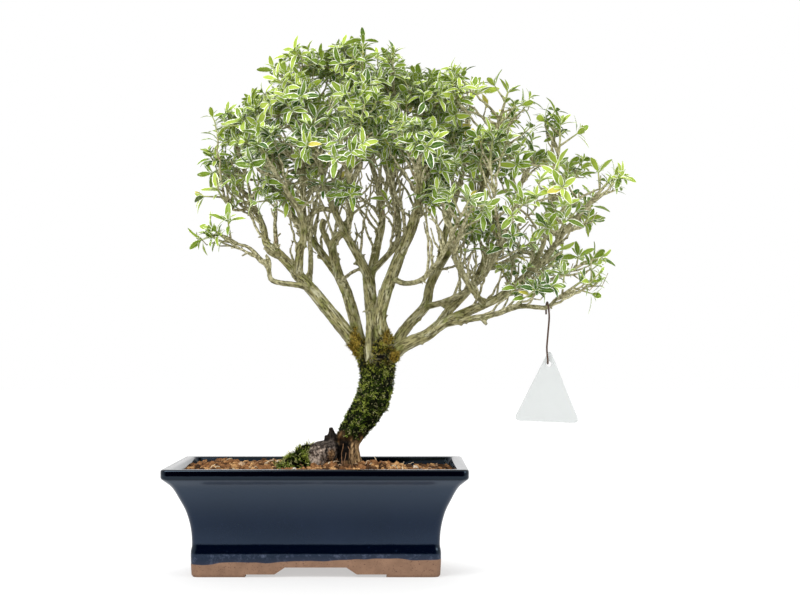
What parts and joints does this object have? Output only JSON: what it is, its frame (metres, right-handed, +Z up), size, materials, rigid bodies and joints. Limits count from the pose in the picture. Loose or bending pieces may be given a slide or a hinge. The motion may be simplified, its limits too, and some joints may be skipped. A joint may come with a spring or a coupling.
{
  "type": "serissa bonsai",
  "caption": "Serissa bonsai: a leaning mossy trunk opens into many upright branches with small cream-edged leaves, planted in a dark blue glazed rectangular pot, with a bare hanging tag.",
  "frame": {"origin": "on the floor under the middle of the whole part's box; the pot's middle lies 75.5 mm to the left of it and 2.5 mm in front of it", "axes": "+Z up; +X to the right of the viewer in the picture, along the pot's long side; +Y away from the viewer, to the back"},
  "size_m": [0.411, 0.249, 0.4768],
  "materials": {
    "glaze": "gloss",
    "soil": "matte",
    "bark": "matte",
    "moss": "matte",
    "leaf": "satin",
    "plastic": "matte",
    "anchor": "satin",
    "wire": "satin",
    "tag": "satin"
  },
  "bodies": {
    "root": {"tree_wood": "bark", "leafy_stem_01": "leaf", "leafy_stem_02": "leaf", "leafy_stem_03": "leaf", "leafy_stem_04": "leaf", "leafy_stem_05": "leaf", "leafy_stem_06": "leaf", "leafy_stem_07": "leaf", "leafy_stem_08": "leaf", "leafy_stem_09": "leaf", "leafy_stem_10": "leaf", "leafy_stem_11": "leaf", "leafy_stem_12": "leaf", "leafy_stem_13": "leaf", "leafy_stem_14": "leaf", "leafy_stem_15": "leaf", "leafy_stem_16": "leaf", "leafy_stem_17": "leaf", "leafy_stem_18": "leaf", "leafy_stem_19": "leaf", "leafy_stem_20": "leaf", "leafy_stem_21": "leaf", "leafy_stem_22": "leaf", "leafy_stem_23": "leaf", "leafy_stem_24": "leaf", "leafy_stem_25": "leaf", "leafy_stem_26": "leaf", "leafy_stem_27": "leaf", "leafy_stem_28": "leaf", "leafy_stem_29": "leaf", "leafy_stem_30": "leaf", "leafy_stem_31": "leaf", "leafy_stem_32": "leaf", "leafy_stem_33": "leaf", "leafy_stem_34": "leaf", "leafy_stem_35": "leaf", "leafy_stem_36": "leaf", "leafy_stem_37": "leaf", "leafy_stem_38": "leaf", "leafy_stem_39": "leaf", "leafy_stem_40": "leaf", "leafy_stem_41": "leaf", "leafy_stem_42": "leaf", "leafy_stem_43": "leaf", "leafy_stem_44": "leaf", "leafy_stem_45": "leaf", "moss_mound": "moss", "tag": "tag", "tag_wire": "wire", "pot": "glaze", "drain_mesh_left": "plastic", "drain_mesh_right": "plastic", "anchor_wire": "anchor", "soil": "soil"}
  },
  "joints": []
}
